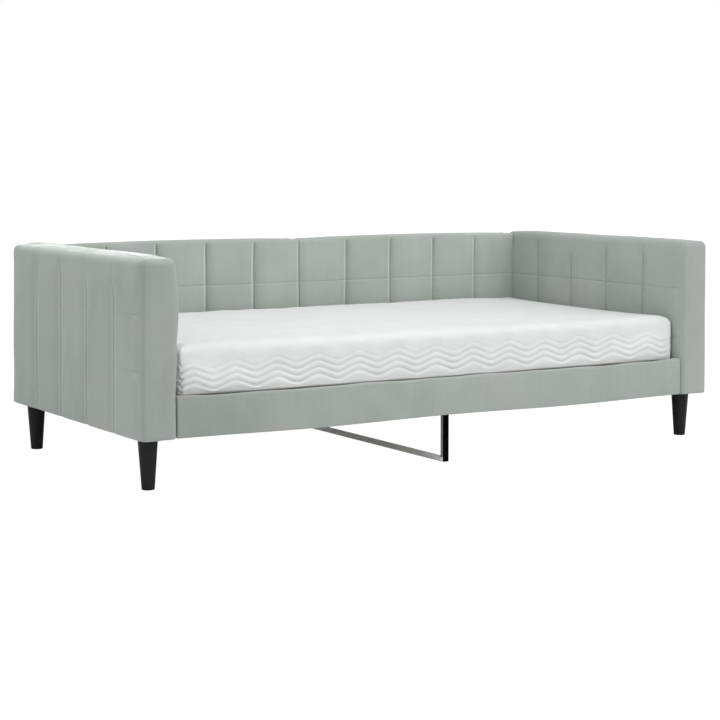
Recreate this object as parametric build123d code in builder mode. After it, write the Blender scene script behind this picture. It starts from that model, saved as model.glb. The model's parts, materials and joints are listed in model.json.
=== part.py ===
"""Upholstered daybed with a loose mattress, built as its separate pieces.

Millimetres. The front faces -Y, +X runs along the bed, +Z is up, and the origin
is on the floor under the middle of the bed. "Left" is the -X end.
"""

from build123d import *
import os

# Overall size
LENGTH = 2280
DEPTH = 1100
HEIGHT = 720
BODY_BOTTOM = 164  # lower edge of the upholstery
ARM_THICKNESS = 130
BACK_THICKNESS = 65
BACK_DROP = 6  # the back's top edge lies this far under the arms' top

# Upholstery layers, from the outside in
COVER = 2
FACE_FOAM = 18
EDGE_FOAM = 8
REAR_FOAM = 5
ARM_BOARD = 5
BACK_BOARD = 4
STRIP = 18  # plywood in place of foam below the mattress, where brackets bolt on
DUST_CLOTH = 1.5
CLOTH_MARGIN = 12  # from the upholstery's edge to the dust cloth's
ARM_ROUND = 24
BACK_ROUND = 14
TOP_ROUND_LESS = 2  # the top edges' rounding is this much smaller than the upright edges'

# Timber frames
STOCK = 30
POST = 100
STUDS = 3

# Front rail
RAIL_SETBACK = 8
RAIL_HEIGHT = 132
RAIL_BOARD = 16
RAIL_FOAM = 5
RAIL_ROUND = 10

# Slatted base
SLEEP_LEVEL = 250
LEDGER_THICKNESS = 25
LEDGER_BOTTOM = 192
LEDGER_TOP = 232
LEDGER_INNER_END = 52
SLATS = 12
SLAT_PITCH = 165
SLAT_WIDTH = 53
SLAT_THICKNESS = 8
SLAT_RISE = 7.5
SLAT_ROUND = 3
SLAT_END_GAP = 1
HOLDER_WALL = 2
HOLDER_ROOF = 1.6
HOLDER_GRIP = 28
HOLDER_HEIGHT = 13
HOLDER_OUTER = 1.5  # from the rail or the back to the holder
HOLDER_CORNER_ROUND = 3
HOLDER_TOP_ROUND = 1.2
STUD_RADIUS = 4
STUD_LENGTH = 12

# Steel parts
BRACKET_LEG = 45
BRACKET_STEEL = 3
BRACKET_BOTTOM = 176
BRACKET_TOP = 246
BRACKET_GAP = 2  # between a bracket and the end of a ledger
BRACKET_HOLE_IN = 28  # from the corner to the holes
BRACKET_HOLE_Z = (194, 228)
TUBE_WIDTH = 25
TUBE_DEPTH = 15
TUBE_WALL = 1.5
TUBE_ROUND = 2
TUBE_TOP = 240
TUBE_HOLE_Z = (190, 222)
PLATE_WIDTH = 100
PLATE_BOTTOM = 180
PLATE_HOLE_X = 32
PLATE_ROUND = 6

# Fasteners
BOLT_RADIUS = 3.9
BOLT_HOLE = 4.5
BOLT_HEAD_RADIUS = 7
BOLT_HEAD = 4.5
HEX_ACROSS = 5
INSERT_RADIUS = 6
INSERT_BORE = 4
INSERT_LENGTH = 13
SCREW_RADIUS = 2.4
SCREW_HEAD_RADIUS = 4.5
SCREW_LENGTH = 40
SCREW_X = (130, 430, 720, 930)
FIT = 0.1  # radial clearance of screws and studs

# Legs
LEG_TOP_RADIUS = 32
LEG_FOOT_RADIUS = 20.5
LEG_FOOT_ROUND = 3
LEG_FROM_FRONT = 84  # from the arm's front or rear face to the leg's axis
LEG_FROM_SIDE = 61  # from the arm's outer face to the leg's axis
HANGER_IN_LEG = 35

# Mattress
MATTRESS_LENGTH = 2000
MATTRESS_WIDTH = 1000
MATTRESS_HEIGHT = 200
MATTRESS_CORNER = 28
MATTRESS_EDGE = 26
MATTRESS_GAP = 0.3  # over the crowns of the slats

# Places worked out from the sizes above
ARM_FACE = LENGTH / 2 - ARM_THICKNESS
ARM_MIDDLE = LENGTH / 2 - ARM_THICKNESS / 2
ARM_CORE_Y = DEPTH / 2 - COVER - EDGE_FOAM
ARM_CORE_TOP = HEIGHT - COVER - EDGE_FOAM
ARM_CORE_WIDTH = ARM_THICKNESS - 2 * (COVER + FACE_FOAM)
BACK_TOP = HEIGHT - BACK_DROP
BACK_FACE = DEPTH / 2 - BACK_THICKNESS
BACK_CORE_FRONT = BACK_FACE + COVER + FACE_FOAM
BACK_CORE_REAR = DEPTH / 2 - COVER - REAR_FOAM
BACK_CORE_TOP = BACK_TOP - COVER - EDGE_FOAM
BACK_CORE_ENDS = (COVER + REAR_FOAM, ARM_FACE - COVER - REAR_FOAM)
RAIL_FRONT = -DEPTH / 2 + RAIL_SETBACK
RAIL_THICKNESS = 2 * COVER + RAIL_FOAM + RAIL_BOARD
RAIL_BACK = RAIL_FRONT + RAIL_THICKNESS
RAIL_TOP = BODY_BOTTOM + RAIL_HEIGHT
LEDGER_OUTER_END = ARM_FACE - BRACKET_LEG - BRACKET_GAP
SLAT_FRONT = RAIL_BACK + HOLDER_OUTER + HOLDER_WALL + SLAT_END_GAP
SLAT_BACK = BACK_FACE - HOLDER_OUTER - HOLDER_WALL - SLAT_END_GAP
SLAT_END_Z = LEDGER_TOP + HOLDER_WALL + FIT
SLAT_X = [SLAT_PITCH * (i - (SLATS - 1) / 2) for i in range(SLATS)]
ARM_BOLT = BRACKET_STEEL + COVER + STRIP + ARM_BOARD + INSERT_LENGTH
BACK_BOLT = BRACKET_STEEL + COVER + STRIP + BACK_BOARD + INSERT_LENGTH
RAIL_BOLT = BRACKET_STEEL + COVER + INSERT_LENGTH
POST_BOLT = TUBE_DEPTH + COVER + INSERT_LENGTH
LEG_LENGTH = BODY_BOTTOM - DUST_CLOTH
LEG_X = LENGTH / 2 - LEG_FROM_SIDE
LEG_Y = DEPTH / 2 - LEG_FROM_FRONT

FROM_START = (Align.CENTER, Align.CENTER, Align.MIN)
ENDS = {"left": -1, "right": 1}


# Where the bolts go: each plane's origin is under a bolt's head, its z axis along the bolt
def arm_bolts(side):
    """The bracket bolts that run outwards into one arm's posts."""
    ys = (RAIL_BACK + BRACKET_HOLE_IN, BACK_FACE - BRACKET_HOLE_IN)
    x = side * (ARM_FACE - BRACKET_STEEL)
    return [Plane((x, y, z), z_dir=(side, 0, 0)) for y in ys for z in BRACKET_HOLE_Z]


def back_bolts(side):
    """The bolts of one corner bracket and of the middle plate, into one half of the back."""
    y = BACK_FACE - BRACKET_STEEL
    xs = (side * (ARM_FACE - BRACKET_HOLE_IN), side * PLATE_HOLE_X)
    return [Plane((x, y, z), z_dir=(0, 1, 0)) for x in xs for z in BRACKET_HOLE_Z]


def rail_bolts():
    """The corner bracket bolts that run forwards into the front rail."""
    y = RAIL_BACK + BRACKET_STEEL
    xs = (BRACKET_HOLE_IN - ARM_FACE, ARM_FACE - BRACKET_HOLE_IN)
    return [Plane((x, y, z), z_dir=(0, -1, 0)) for x in xs for z in BRACKET_HOLE_Z]


def post_bolts():
    """The bolts through the support's front post into the front rail."""
    y = RAIL_BACK + TUBE_DEPTH
    return [Plane((0, y, z), z_dir=(0, -1, 0)) for z in TUBE_HOLE_Z]


def ledger_screws(side, face, inwards):
    """The screws of one ledger, each plane's origin at the ledger's open face."""
    y = face - inwards * LEDGER_THICKNESS
    z = (LEDGER_BOTTOM + LEDGER_TOP) / 2
    return [Plane((side * x, y, z), z_dir=(0, inwards, 0)) for x in SCREW_X]


def leg_spots():
    """The four leg axes, each plane's origin on the floor."""
    return [Plane((x, y, 0)) for x in (-LEG_X, LEG_X) for y in (-LEG_Y, LEG_Y)]


# Shapes that several pieces share
def rods(spots, radius, start, end):
    """Round bars, one along each spot's axis from start to end."""
    with BuildPart() as bars:
        with Locations([spot.offset(start) for spot in spots]):
            Cylinder(radius, end - start, align=FROM_START)
    return bars.part


def screw_bodies(spots, growth):
    """Countersunk screws, grown all round, which also cut their own holes."""
    head = SCREW_HEAD_RADIUS + growth
    shank = SCREW_RADIUS + growth
    with BuildPart() as screws:
        with Locations(spots):
            Cylinder(shank, SCREW_LENGTH + growth, align=FROM_START)
            Cone(head, shank, head - shank, align=FROM_START)
    return screws.part


def block(x_ends, y_ends, z_ends):
    """A square-edged block between two ends along each axis."""
    with BuildPart() as plain:
        with Locations((min(x_ends), min(y_ends), min(z_ends))):
            Box(
                abs(x_ends[1] - x_ends[0]),
                abs(y_ends[1] - y_ends[0]),
                abs(z_ends[1] - z_ends[0]),
                align=(Align.MIN, Align.MIN, Align.MIN),
            )
    return plain.part


def soft_block(x_ends, y_ends, z_ends, upright_round, top_round):
    """A block with rounded upright and top edges, and a square foot."""
    with BuildPart() as soft:
        with BuildSketch(Plane.XY.offset(z_ends[0])):
            with Locations((sum(x_ends) / 2, sum(y_ends) / 2)):
                RectangleRounded(
                    abs(x_ends[1] - x_ends[0]), y_ends[1] - y_ends[0], upright_round
                )
        extrude(amount=z_ends[1] - z_ends[0])
        fillet(soft.faces().sort_by(Axis.Z)[-1].edges(), top_round)
    return soft.part


def save(piece, label):
    """Label a finished piece and write its STEP file."""
    piece.part.label = label
    export_step(piece.part, f"parts/{label}.step")


# Arms
def arm_envelope(side, inset):
    """One arm's outside, made smaller by inset on every side but its foot."""
    return soft_block(
        (side * (ARM_FACE + inset), side * (LENGTH / 2 - inset)),
        (-DEPTH / 2 + inset, DEPTH / 2 - inset),
        (BODY_BOTTOM, HEIGHT - inset),
        ARM_ROUND - inset,
        ARM_ROUND - inset - TOP_ROUND_LESS,
    )


def arm_core(side):
    """The space that one arm's frame and its two boards fill."""
    half = ARM_CORE_WIDTH / 2
    return block(
        (side * (ARM_MIDDLE - half), side * (ARM_MIDDLE + half)),
        (-ARM_CORE_Y, ARM_CORE_Y),
        (BODY_BOTTOM, ARM_CORE_TOP),
    )


def arm_strip(side):
    """The plywood strip behind one arm's cover, below the mattress."""
    flat = DEPTH / 2 - ARM_ROUND
    return block(
        (side * (ARM_FACE + COVER), side * (ARM_FACE + COVER + STRIP)),
        (-flat, flat),
        (BODY_BOTTOM, SLEEP_LEVEL),
    )


def make_arm(name, side):
    """The frame, boards, foam and cover of one arm."""
    half = ARM_CORE_WIDTH / 2 - ARM_BOARD
    window = (2 * (ARM_CORE_Y - POST) - STUDS * STOCK) / (STUDS + 1)
    bolts = arm_bolts(side)
    legs = [spot for spot in leg_spots() if spot.origin.X * side > 0]

    with BuildPart() as frame:
        add(
            block(
                (side * (ARM_MIDDLE - half), side * (ARM_MIDDLE + half)),
                (-ARM_CORE_Y, ARM_CORE_Y),
                (BODY_BOTTOM, ARM_CORE_TOP),
            )
        )
        with BuildSketch(Plane.YZ.offset(side * ARM_MIDDLE)):
            with Locations((0, (BODY_BOTTOM + ARM_CORE_TOP) / 2)):
                with GridLocations(window + STOCK, 1, STUDS + 1, 1):
                    Rectangle(window, ARM_CORE_TOP - BODY_BOTTOM - 2 * STOCK)
        extrude(amount=half, both=True, mode=Mode.SUBTRACT)
        add(rods(bolts, INSERT_RADIUS, ARM_BOLT - INSERT_LENGTH, ARM_BOLT), mode=Mode.SUBTRACT)
        add(
            rods(legs, INSERT_RADIUS, BODY_BOTTOM, BODY_BOTTOM + INSERT_LENGTH),
            mode=Mode.SUBTRACT,
        )
    save(frame, f"{name}_arm_frame")

    faces = {"inner": ARM_MIDDLE - half - ARM_BOARD, "outer": ARM_MIDDLE + half}
    for face, start in faces.items():
        with BuildPart() as board:
            add(
                block(
                    (side * start, side * (start + ARM_BOARD)),
                    (-ARM_CORE_Y, ARM_CORE_Y),
                    (BODY_BOTTOM, ARM_CORE_TOP),
                )
            )
            if face == "inner":
                add(rods(bolts, BOLT_HOLE, 0, ARM_BOLT), mode=Mode.SUBTRACT)
        save(board, f"{name}_arm_{face}_board")

    with BuildPart() as foam:
        add(arm_envelope(side, COVER))
        add(arm_core(side), mode=Mode.SUBTRACT)
        add(arm_strip(side), mode=Mode.SUBTRACT)
    save(foam, f"{name}_arm_foam")

    with BuildPart() as cover:
        add(arm_envelope(side, 0))
        add(arm_envelope(side, COVER), mode=Mode.SUBTRACT)
        add(rods(bolts, BOLT_HOLE, 0, BRACKET_STEEL + COVER), mode=Mode.SUBTRACT)
    save(cover, f"{name}_arm_cover")


# Back, in two halves that meet in the middle
def back_envelope(side, inset):
    """One back half's outside, made smaller by inset on every side but its foot."""
    return soft_block(
        (side * inset, side * (ARM_FACE - inset)),
        (BACK_FACE + inset, DEPTH / 2 - inset),
        (BODY_BOTTOM, BACK_TOP - inset),
        BACK_ROUND - inset,
        BACK_ROUND - inset - TOP_ROUND_LESS,
    )


def back_core(side, front, rear):
    """One back half's layer of board or timber between two depths."""
    inner, outer = BACK_CORE_ENDS
    return block((side * inner, side * outer), (front, rear), (BODY_BOTTOM, BACK_CORE_TOP))


def back_strip(side):
    """The plywood strip behind one back half's cover, below the mattress."""
    return block(
        (side * BACK_ROUND, side * (ARM_FACE - BACK_ROUND)),
        (BACK_FACE + COVER, BACK_CORE_FRONT),
        (BODY_BOTTOM, SLEEP_LEVEL),
    )


def make_back_half(name, side):
    """The frame, boards, foam and cover of one half of the back."""
    inner, outer = BACK_CORE_ENDS
    window = (outer - inner - 2 * POST - STUDS * STOCK) / (STUDS + 1)
    frame_front = BACK_CORE_FRONT + BACK_BOARD
    frame_rear = BACK_CORE_REAR - BACK_BOARD
    bolts = back_bolts(side)

    with BuildPart() as frame:
        add(back_core(side, frame_front, frame_rear))
        with BuildSketch(Plane.XZ.offset(-frame_front)):
            with Locations((side * (inner + outer) / 2, (BODY_BOTTOM + BACK_CORE_TOP) / 2)):
                with GridLocations(window + STOCK, 1, STUDS + 1, 1):
                    Rectangle(window, BACK_CORE_TOP - BODY_BOTTOM - 2 * STOCK)
        extrude(amount=frame_front - frame_rear, mode=Mode.SUBTRACT)
        add(
            rods(bolts, INSERT_RADIUS, BACK_BOLT - INSERT_LENGTH, BACK_BOLT),
            mode=Mode.SUBTRACT,
        )
    save(frame, f"{name}_back_frame")

    with BuildPart() as front_board:
        add(back_core(side, BACK_CORE_FRONT, frame_front))
        add(rods(bolts, BOLT_HOLE, 0, BACK_BOLT), mode=Mode.SUBTRACT)
    save(front_board, f"{name}_back_front_board")

    with BuildPart() as rear_board:
        add(back_core(side, frame_rear, BACK_CORE_REAR))
    save(rear_board, f"{name}_back_rear_board")

    with BuildPart() as foam:
        add(back_envelope(side, COVER))
        add(back_core(side, BACK_CORE_FRONT, BACK_CORE_REAR), mode=Mode.SUBTRACT)
        add(back_strip(side), mode=Mode.SUBTRACT)
    save(foam, f"{name}_back_foam")

    with BuildPart() as cover:
        add(back_envelope(side, 0))
        add(back_envelope(side, COVER), mode=Mode.SUBTRACT)
        add(rods(bolts, BOLT_HOLE, 0, BRACKET_STEEL + COVER), mode=Mode.SUBTRACT)
        add(screw_bodies(ledger_screws(side, BACK_FACE, 1), FIT), mode=Mode.SUBTRACT)
    save(cover, f"{name}_back_cover")


def make_strips_and_cloths():
    """The plywood fixing strips, and the cloths that close the upholstery from below."""
    with BuildPart() as strips:
        for side in ENDS.values():
            add(arm_strip(side))
            add(back_strip(side))
            add(rods(arm_bolts(side), BOLT_HOLE, 0, ARM_BOLT), mode=Mode.SUBTRACT)
            add(rods(back_bolts(side), BOLT_HOLE, 0, BACK_BOLT), mode=Mode.SUBTRACT)
            add(screw_bodies(ledger_screws(side, BACK_FACE, 1), FIT), mode=Mode.SUBTRACT)
    save(strips, "fixing_strips")

    with BuildPart() as cloths:
        with BuildSketch(Plane.XY.offset(LEG_LENGTH)):
            with Locations((-ARM_MIDDLE, 0), (ARM_MIDDLE, 0)):
                RectangleRounded(
                    ARM_THICKNESS - 2 * CLOTH_MARGIN,
                    DEPTH - 2 * CLOTH_MARGIN,
                    ARM_ROUND - CLOTH_MARGIN,
                )
            with Locations(
                (-ARM_FACE / 2, DEPTH / 2 - BACK_THICKNESS / 2),
                (ARM_FACE / 2, DEPTH / 2 - BACK_THICKNESS / 2),
            ):
                RectangleRounded(
                    ARM_FACE - 2 * CLOTH_MARGIN,
                    BACK_THICKNESS - 2 * CLOTH_MARGIN,
                    BACK_ROUND - CLOTH_MARGIN,
                )
        extrude(amount=DUST_CLOTH)
        add(rods(leg_spots(), BOLT_HOLE, 0, BODY_BOTTOM), mode=Mode.SUBTRACT)
    save(cloths, "dust_cloths")


# Front rail
def rail_profile(inset):
    """The front rail's length, with its section made smaller by inset all round."""
    with BuildPart() as rail:
        with BuildSketch(Plane.YZ.offset(-ARM_FACE)) as section:
            with Locations((RAIL_FRONT + RAIL_THICKNESS / 2, BODY_BOTTOM + RAIL_HEIGHT / 2)):
                Rectangle(RAIL_THICKNESS - 2 * inset, RAIL_HEIGHT - 2 * inset)
            fillet(section.vertices().group_by(Axis.Y)[-1], RAIL_ROUND - inset)
        extrude(amount=2 * ARM_FACE)
    return rail.part


def rail_screw_holes():
    """The holes that the front ledgers' screws make."""
    spots = ledger_screws(-1, RAIL_BACK, -1) + ledger_screws(1, RAIL_BACK, -1)
    return screw_bodies(spots, FIT)


def make_rail():
    """The board, foam and cover of the front rail."""
    board_block = block(
        (-ARM_FACE, ARM_FACE),
        (RAIL_BACK - COVER - RAIL_BOARD, RAIL_BACK - COVER),
        (BODY_BOTTOM + COVER, RAIL_TOP - RAIL_ROUND),
    )
    inserts = [
        rods(rail_bolts(), INSERT_RADIUS, RAIL_BOLT - INSERT_LENGTH, RAIL_BOLT),
        rods(post_bolts(), INSERT_RADIUS, POST_BOLT - INSERT_LENGTH, POST_BOLT),
    ]
    bolts = [
        rods(rail_bolts(), BOLT_HOLE, 0, RAIL_BOLT),
        rods(post_bolts(), BOLT_HOLE, 0, POST_BOLT),
    ]

    with BuildPart() as board:
        add(board_block)
        add(inserts, mode=Mode.SUBTRACT)
        add(rail_screw_holes(), mode=Mode.SUBTRACT)
    save(board, "front_rail_board")

    with BuildPart() as foam:
        add(rail_profile(COVER))
        add(board_block, mode=Mode.SUBTRACT)
    save(foam, "front_rail_foam")

    with BuildPart() as cover:
        add(rail_profile(0))
        add(rail_profile(COVER), mode=Mode.SUBTRACT)
        add(bolts, mode=Mode.SUBTRACT)
        add(rail_screw_holes(), mode=Mode.SUBTRACT)
    save(cover, "front_rail_cover")


# Slatted base
def make_ledgers():
    """The four battens that carry the slats, and the screws that hold them."""
    rows = {"front": (RAIL_BACK, -1), "back": (BACK_FACE, 1)}
    all_screws = []
    for row, (face, inwards) in rows.items():
        middle = face - inwards * LEDGER_THICKNESS / 2
        for name, side in ENDS.items():
            screws = ledger_screws(side, face, inwards)
            all_screws += screws
            studs = [Plane((x, middle, LEDGER_TOP - STUD_LENGTH)) for x in SLAT_X if x * side > 0]
            with BuildPart() as ledger:
                add(
                    block(
                        (side * LEDGER_INNER_END, side * LEDGER_OUTER_END),
                        (face, face - inwards * LEDGER_THICKNESS),
                        (LEDGER_BOTTOM, LEDGER_TOP),
                    )
                )
                add(screw_bodies(screws, FIT), mode=Mode.SUBTRACT)
                add(rods(studs, STUD_RADIUS + FIT, -FIT, STUD_LENGTH), mode=Mode.SUBTRACT)
            save(ledger, f"{row}_{name}_ledger")

    with BuildPart() as screw_set:
        add(screw_bodies(all_screws, 0))
    save(screw_set, "ledger_screws")


def make_slat(number, x):
    """One sprung slat, bent upwards along its length."""
    middle = (SLAT_FRONT + SLAT_BACK) / 2
    top_end = SLAT_END_Z + SLAT_THICKNESS
    with BuildPart() as slat:
        with BuildSketch(Plane.YZ.offset(x - SLAT_WIDTH / 2)):
            with BuildLine():
                ThreePointArc(
                    (SLAT_FRONT, SLAT_END_Z),
                    (middle, SLAT_END_Z + SLAT_RISE),
                    (SLAT_BACK, SLAT_END_Z),
                )
                Line((SLAT_BACK, SLAT_END_Z), (SLAT_BACK, top_end))
                ThreePointArc(
                    (SLAT_BACK, top_end), (middle, top_end + SLAT_RISE), (SLAT_FRONT, top_end)
                )
                Line((SLAT_FRONT, top_end), (SLAT_FRONT, SLAT_END_Z))
            make_face()
        extrude(amount=SLAT_WIDTH)
        fillet(slat.edges().filter_by(Axis.Z), SLAT_ROUND)
    save(slat, f"slat_{number:02d}")


def make_holders():
    """The plastic caps that hold the slats' ends on the front and the back ledgers."""
    rows = {"front": (RAIL_BACK, 1), "back": (BACK_FACE, -1)}
    outer_width = SLAT_WIDTH + 2 * HOLDER_WALL
    for row, (face, away) in rows.items():
        closed_end = face + away * HOLDER_OUTER
        open_end = closed_end + away * (HOLDER_WALL + HOLDER_GRIP)
        pocket_end = closed_end + away * HOLDER_WALL
        ledger_middle = face + away * LEDGER_THICKNESS / 2
        with BuildPart() as holders:
            with BuildSketch(Plane.XY.offset(LEDGER_TOP)):
                with Locations([(x, (closed_end + open_end) / 2) for x in SLAT_X]):
                    RectangleRounded(outer_width, abs(open_end - closed_end), HOLDER_CORNER_ROUND)
            extrude(amount=HOLDER_HEIGHT)
            fillet(holders.faces().group_by(Axis.Z)[-1].edges(), HOLDER_TOP_ROUND)
            with BuildSketch(Plane.XY.offset(LEDGER_TOP + HOLDER_WALL)):
                with Locations([(x, (pocket_end + open_end) / 2) for x in SLAT_X]):
                    Rectangle(SLAT_WIDTH + 2 * FIT, abs(open_end - pocket_end))
            extrude(amount=HOLDER_HEIGHT - HOLDER_ROOF - HOLDER_WALL, mode=Mode.SUBTRACT)
            with Locations([(x, ledger_middle, LEDGER_TOP - STUD_LENGTH) for x in SLAT_X]):
                Cylinder(STUD_RADIUS, STUD_LENGTH, align=FROM_START)
        save(holders, f"{row}_slat_holders")


# Steel parts
def make_support():
    """The middle support: two posts and a foot bar of steel tube, and the back plate."""
    half = TUBE_WIDTH / 2
    front_end = RAIL_BACK + TUBE_DEPTH
    back_end = BACK_FACE - BRACKET_STEEL - TUBE_DEPTH
    for name, y in (("front", RAIL_BACK), ("back", back_end)):
        with BuildPart() as post:
            add(block((-half, half), (y, y + TUBE_DEPTH), (0, TUBE_TOP)))
            fillet(post.edges().filter_by(Axis.Z), TUBE_ROUND)
            add(
                block(
                    (TUBE_WALL - half, half - TUBE_WALL),
                    (y + TUBE_WALL, y + TUBE_DEPTH - TUBE_WALL),
                    (TUBE_WALL, TUBE_TOP),
                ),
                mode=Mode.SUBTRACT,
            )
            if name == "front":
                add(rods(post_bolts(), BOLT_HOLE, 0, TUBE_DEPTH), mode=Mode.SUBTRACT)
        save(post, f"support_{name}_post")

    with BuildPart() as bar:
        add(block((-half, half), (front_end, back_end), (0, TUBE_DEPTH)))
        fillet(bar.edges().filter_by(Axis.Y), TUBE_ROUND)
        add(
            block(
                (TUBE_WALL - half, half - TUBE_WALL),
                (front_end, back_end),
                (TUBE_WALL, TUBE_DEPTH - TUBE_WALL),
            ),
            mode=Mode.SUBTRACT,
        )
    save(bar, "support_foot_bar")

    with BuildPart() as plate:
        add(
            block(
                (-PLATE_WIDTH / 2, PLATE_WIDTH / 2),
                (BACK_FACE - BRACKET_STEEL, BACK_FACE),
                (PLATE_BOTTOM, TUBE_TOP),
            )
        )
        fillet(plate.edges().filter_by(Axis.Y), PLATE_ROUND)
        for side in ENDS.values():
            add(rods(back_bolts(side), BOLT_HOLE, 0, BRACKET_STEEL), mode=Mode.SUBTRACT)
    save(plate, "support_back_plate")


def make_brackets():
    """The four steel angles inside the corners."""
    rows = ((RAIL_BACK, 1), (BACK_FACE, -1))
    corners = [(side, y, away) for side in ENDS.values() for y, away in rows]
    with BuildPart() as brackets:
        for side, y, away in corners:
            x = side * ARM_FACE
            heights = (BRACKET_BOTTOM, BRACKET_TOP)
            add(block((x, x - side * BRACKET_STEEL), (y, y + away * BRACKET_LEG), heights))
            add(block((x, x - side * BRACKET_LEG), (y, y + away * BRACKET_STEEL), heights))
        for side in ENDS.values():
            add(rods(arm_bolts(side), BOLT_HOLE, 0, BRACKET_STEEL), mode=Mode.SUBTRACT)
            add(rods(back_bolts(side), BOLT_HOLE, 0, BRACKET_STEEL), mode=Mode.SUBTRACT)
        add(rods(rail_bolts(), BOLT_HOLE, 0, BRACKET_STEEL), mode=Mode.SUBTRACT)
    save(brackets, "corner_brackets")


def make_bolts():
    """The button-head bolts, and the threaded inserts that they and the legs screw into."""
    groups = [(rail_bolts(), RAIL_BOLT), (post_bolts(), POST_BOLT)]
    for side in ENDS.values():
        groups += [(arm_bolts(side), ARM_BOLT), (back_bolts(side), BACK_BOLT)]

    with BuildPart() as bolts:
        for spots, length in groups:
            with Locations([spot.offset(-BOLT_HEAD) for spot in spots]):
                Cylinder(BOLT_HEAD_RADIUS, BOLT_HEAD, align=FROM_START)
            with Locations(spots):
                Cylinder(BOLT_RADIUS, length, align=FROM_START)
            with BuildSketch(*[spot.offset(-BOLT_HEAD) for spot in spots]):
                RegularPolygon(HEX_ACROSS / 2, 6, major_radius=False)
            extrude(amount=BOLT_HEAD / 2, mode=Mode.SUBTRACT)
    save(bolts, "joint_bolts")

    with BuildPart() as inserts:
        for spots, length in groups + [(leg_spots(), BODY_BOTTOM + INSERT_LENGTH)]:
            add(rods(spots, INSERT_RADIUS, length - INSERT_LENGTH, length))
            add(rods(spots, INSERT_BORE, length - INSERT_LENGTH, length), mode=Mode.SUBTRACT)
    save(inserts, "insert_nuts")


# Legs
def make_legs():
    """The four turned, tapered legs and the hanger bolts that hold them."""
    names = [f"{row}_{name}_leg" for name in ENDS for row in ("front", "back")]
    for label, spot in zip(names, leg_spots()):
        with BuildPart() as leg:
            with Locations(spot):
                Cone(LEG_FOOT_RADIUS, LEG_TOP_RADIUS, LEG_LENGTH, align=FROM_START)
            fillet(leg.edges().sort_by(Axis.Z)[0], LEG_FOOT_ROUND)
            add(
                rods([spot], INSERT_BORE, LEG_LENGTH - HANGER_IN_LEG, LEG_LENGTH),
                mode=Mode.SUBTRACT,
            )
        save(leg, label)

    with BuildPart() as hangers:
        add(
            rods(
                leg_spots(),
                BOLT_RADIUS,
                LEG_LENGTH - HANGER_IN_LEG,
                BODY_BOTTOM + INSERT_LENGTH,
            )
        )
    save(hangers, "leg_hanger_bolts")


# Mattress
def mattress_envelope(inset):
    """The mattress's outside, made smaller by inset all round."""
    bottom = SLEEP_LEVEL + inset
    middle = (RAIL_BACK + BACK_FACE) / 2
    half_length = MATTRESS_LENGTH / 2 - inset
    half_width = MATTRESS_WIDTH / 2 - inset
    with BuildPart() as envelope:
        add(
            soft_block(
                (-half_length, half_length),
                (middle - half_width, middle + half_width),
                (bottom, SLEEP_LEVEL + MATTRESS_HEIGHT - inset),
                MATTRESS_CORNER - inset,
                MATTRESS_EDGE - inset,
            )
        )
        fillet(envelope.faces().sort_by(Axis.Z)[0].edges(), MATTRESS_EDGE / 2 - inset)
    return envelope.part


def make_mattress():
    """The foam core, the zipped top cover and the bottom cloth of the mattress."""
    middle = (RAIL_BACK + BACK_FACE) / 2
    hem = MATTRESS_EDGE / 2
    with BuildPart() as core:
        add(mattress_envelope(COVER))
    save(core, "mattress_core")

    with BuildPart() as base:
        with BuildSketch(Plane.XY.offset(SLEEP_LEVEL)):
            with Locations((0, middle)):
                RectangleRounded(
                    MATTRESS_LENGTH - 2 * hem, MATTRESS_WIDTH - 2 * hem, MATTRESS_CORNER - hem
                )
        extrude(amount=COVER)
    save(base, "mattress_base")

    with BuildPart() as cover:
        add(mattress_envelope(0))
        add(mattress_envelope(COVER), mode=Mode.SUBTRACT)
        add(base.part, mode=Mode.SUBTRACT)
    save(cover, "mattress_cover")


os.makedirs("parts", exist_ok=True)
for end_name, end_side in ENDS.items():
    make_arm(end_name, end_side)
    make_back_half(end_name, end_side)
make_strips_and_cloths()
make_rail()
make_ledgers()
for slat_number, slat_x in enumerate(SLAT_X, start=1):
    make_slat(slat_number, slat_x)
make_holders()
make_support()
make_brackets()
make_bolts()
make_legs()
make_mattress()
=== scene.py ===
"""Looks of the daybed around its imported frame: quilted velvet, a wave-quilted mattress, wood and steel."""

import json
import math

import bmesh
import bpy
import numpy as np
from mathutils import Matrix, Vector


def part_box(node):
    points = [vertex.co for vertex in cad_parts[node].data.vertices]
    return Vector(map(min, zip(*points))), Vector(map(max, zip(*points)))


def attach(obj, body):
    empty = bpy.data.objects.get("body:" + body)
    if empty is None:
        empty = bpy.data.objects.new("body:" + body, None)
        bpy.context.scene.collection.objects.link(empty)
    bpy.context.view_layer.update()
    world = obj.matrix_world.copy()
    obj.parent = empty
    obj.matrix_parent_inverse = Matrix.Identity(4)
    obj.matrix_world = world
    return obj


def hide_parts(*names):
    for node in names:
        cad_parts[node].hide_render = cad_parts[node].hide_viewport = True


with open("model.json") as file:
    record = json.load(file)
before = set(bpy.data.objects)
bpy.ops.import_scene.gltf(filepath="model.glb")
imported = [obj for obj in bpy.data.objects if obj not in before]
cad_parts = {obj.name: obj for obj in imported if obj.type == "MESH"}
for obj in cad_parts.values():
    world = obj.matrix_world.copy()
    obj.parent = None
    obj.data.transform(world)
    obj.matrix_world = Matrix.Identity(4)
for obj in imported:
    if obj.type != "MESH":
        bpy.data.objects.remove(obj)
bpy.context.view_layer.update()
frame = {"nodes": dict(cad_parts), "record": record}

# Lengths and heights are in metres, and weights are shares of 1. A pair with "between" in its
# comment gives where something starts to change and where it is complete.

# Camera
EYE = (-3.4517, -5.6257, 1.0397)
TURN = math.radians(31.345)  # to the right of straight back
TILT = math.radians(4.555)  # downwards
LENS = 91.89
SENSOR_WIDTH = 36
SHIFT_DOWN = 60 / 720

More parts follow.
